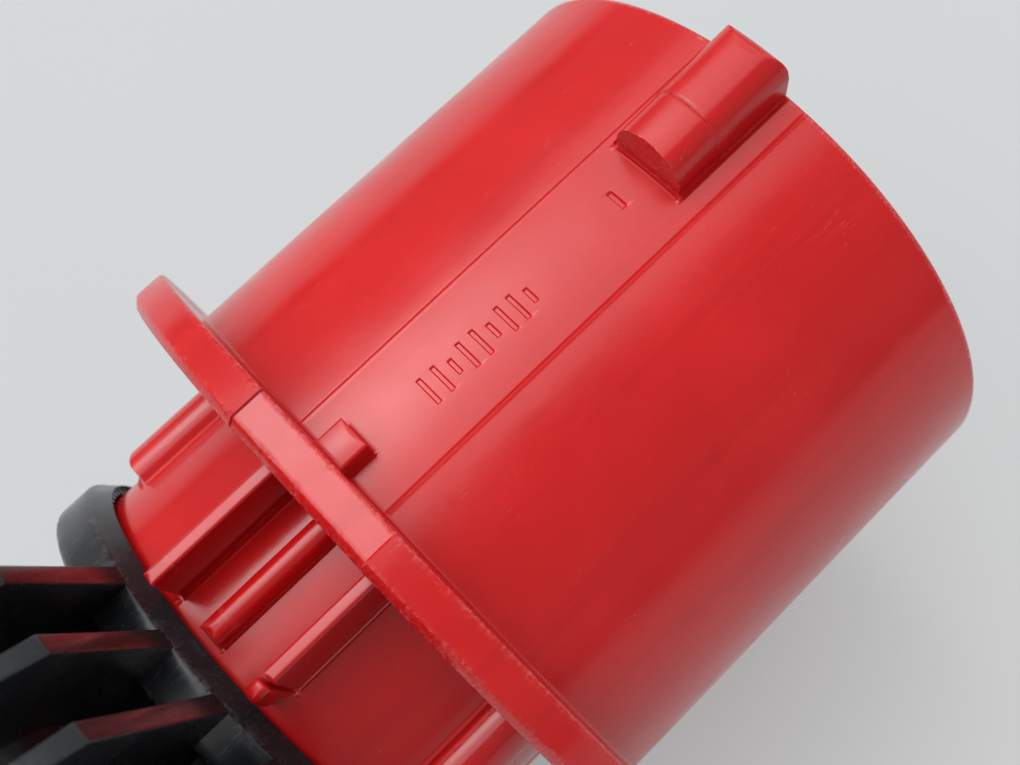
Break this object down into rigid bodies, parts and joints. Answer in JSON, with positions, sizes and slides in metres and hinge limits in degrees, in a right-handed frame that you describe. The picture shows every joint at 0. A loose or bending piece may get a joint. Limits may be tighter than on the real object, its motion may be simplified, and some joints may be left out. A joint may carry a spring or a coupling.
{
  "type": "industrial power plug",
  "caption": "Pin-and-sleeve industrial power plug: red keyed shroud and flange over moulded contacts, black finned twist-lock rear housing and cable gland.",
  "frame": {"origin": "on the plug's axis, in the plane of the flange's front face", "axes": "+X along the axis towards the mouth of the shroud, +Z towards the guide key (the 6 o'clock mark), +Y completes the right-handed frame"},
  "size_m": [0.1635, 0.0754, 0.1122],
  "materials": {
    "red_moulding": "moulded glossy red thermoplastic with fine scratches and scuffs",
    "black_moulding": "moulded satin black thermoplastic, dusty edges",
    "insulator": "matt dark grey glass-filled plastic",
    "contact_metal": "nickel-plated turned brass",
    "screw_steel": "zinc-plated steel",
    "seal_rubber": "matt black rubber",
    "white_plastic": "natural white slip ring"
  },
  "bodies": {
    "front": {"front_shell": "red_moulding", "contact_carrier": "insulator", "earth_pin": "contact_metal", "neutral_pin": "contact_metal", "phase_pin_1": "contact_metal", "phase_pin_2": "contact_metal", "phase_pin_3": "contact_metal", "carrier_screws": "screw_steel"},
    "housing_seal": {"housing_seal": "seal_rubber"},
    "rear_housing": {"rear_housing": "black_moulding", "gland_seal": "seal_rubber"},
    "lock_slide": {"lock_slide": "red_moulding"},
    "gland_claw": {"gland_claw": "insulator", "gland_thrust_ring": "white_plastic"},
    "gland_nut": {"gland_nut": "black_moulding"},
    "earth_terminal_screw": {"earth_terminal_screw": "screw_steel"},
    "neutral_terminal_screw": {"neutral_terminal_screw": "screw_steel"},
    "phase_terminal_screw_1": {"phase_terminal_screw_1": "screw_steel"},
    "phase_terminal_screw_2": {"phase_terminal_screw_2": "screw_steel"},
    "phase_terminal_screw_3": {"phase_terminal_screw_3": "screw_steel"}
  },
  "joints": [
    {"name": "housing_travel", "type": "slide", "parent": "front", "child": "housing_seal", "axis": [-1, 0, 0], "range_m": [0, 0.003]},
    {"name": "housing_twist", "type": "hinge", "parent": "housing_seal", "child": "rear_housing", "pos_m": [-0.0186, 0, 0], "axis": [-1, 0, 0], "range_deg": [0, 45]},
    {"name": "lock_slide_travel", "type": "slide", "parent": "front", "child": "lock_slide", "axis": [-1, 0, 0], "range_m": [0, 0.0018]},
    {"name": "gland_travel", "type": "slide", "parent": "rear_housing", "child": "gland_claw", "axis": [-1, 0, 0], "range_m": [0, 0.0061]},
    {"name": "gland_nut_turn", "type": "hinge", "parent": "gland_claw", "child": "gland_nut", "pos_m": [-0.1, 0, 0], "axis": [-1, 0, 0], "range_deg": [0, 720]},
    {"name": "earth_terminal_screw_travel", "type": "slide", "parent": "front", "child": "earth_terminal_screw", "axis": [0, 0, 1], "range_m": [0, 0.003]},
    {"name": "neutral_terminal_screw_travel", "type": "slide", "parent": "front", "child": "neutral_terminal_screw", "axis": [0, -0.9511, 0.309], "range_m": [0, 0.003]},
    {"name": "phase_terminal_screw_1_travel", "type": "slide", "parent": "front", "child": "phase_terminal_screw_1", "axis": [0, 0.9511, 0.309], "range_m": [0, 0.003]},
    {"name": "phase_terminal_screw_2_travel", "type": "slide", "parent": "front", "child": "phase_terminal_screw_2", "axis": [0, 0.5878, -0.809], "range_m": [0, 0.003]},
    {"name": "phase_terminal_screw_3_travel", "type": "slide", "parent": "front", "child": "phase_terminal_screw_3", "axis": [0, -0.5878, -0.809], "range_m": [0, 0.003]}
  ],
  "couplings": [
    {"joint": "housing_travel", "follows": "housing_twist", "m_per_rad": 0.0038},
    {"joint": "gland_travel", "follows": "gland_nut_turn", "m_per_rad": 0.00047746}
  ]
}
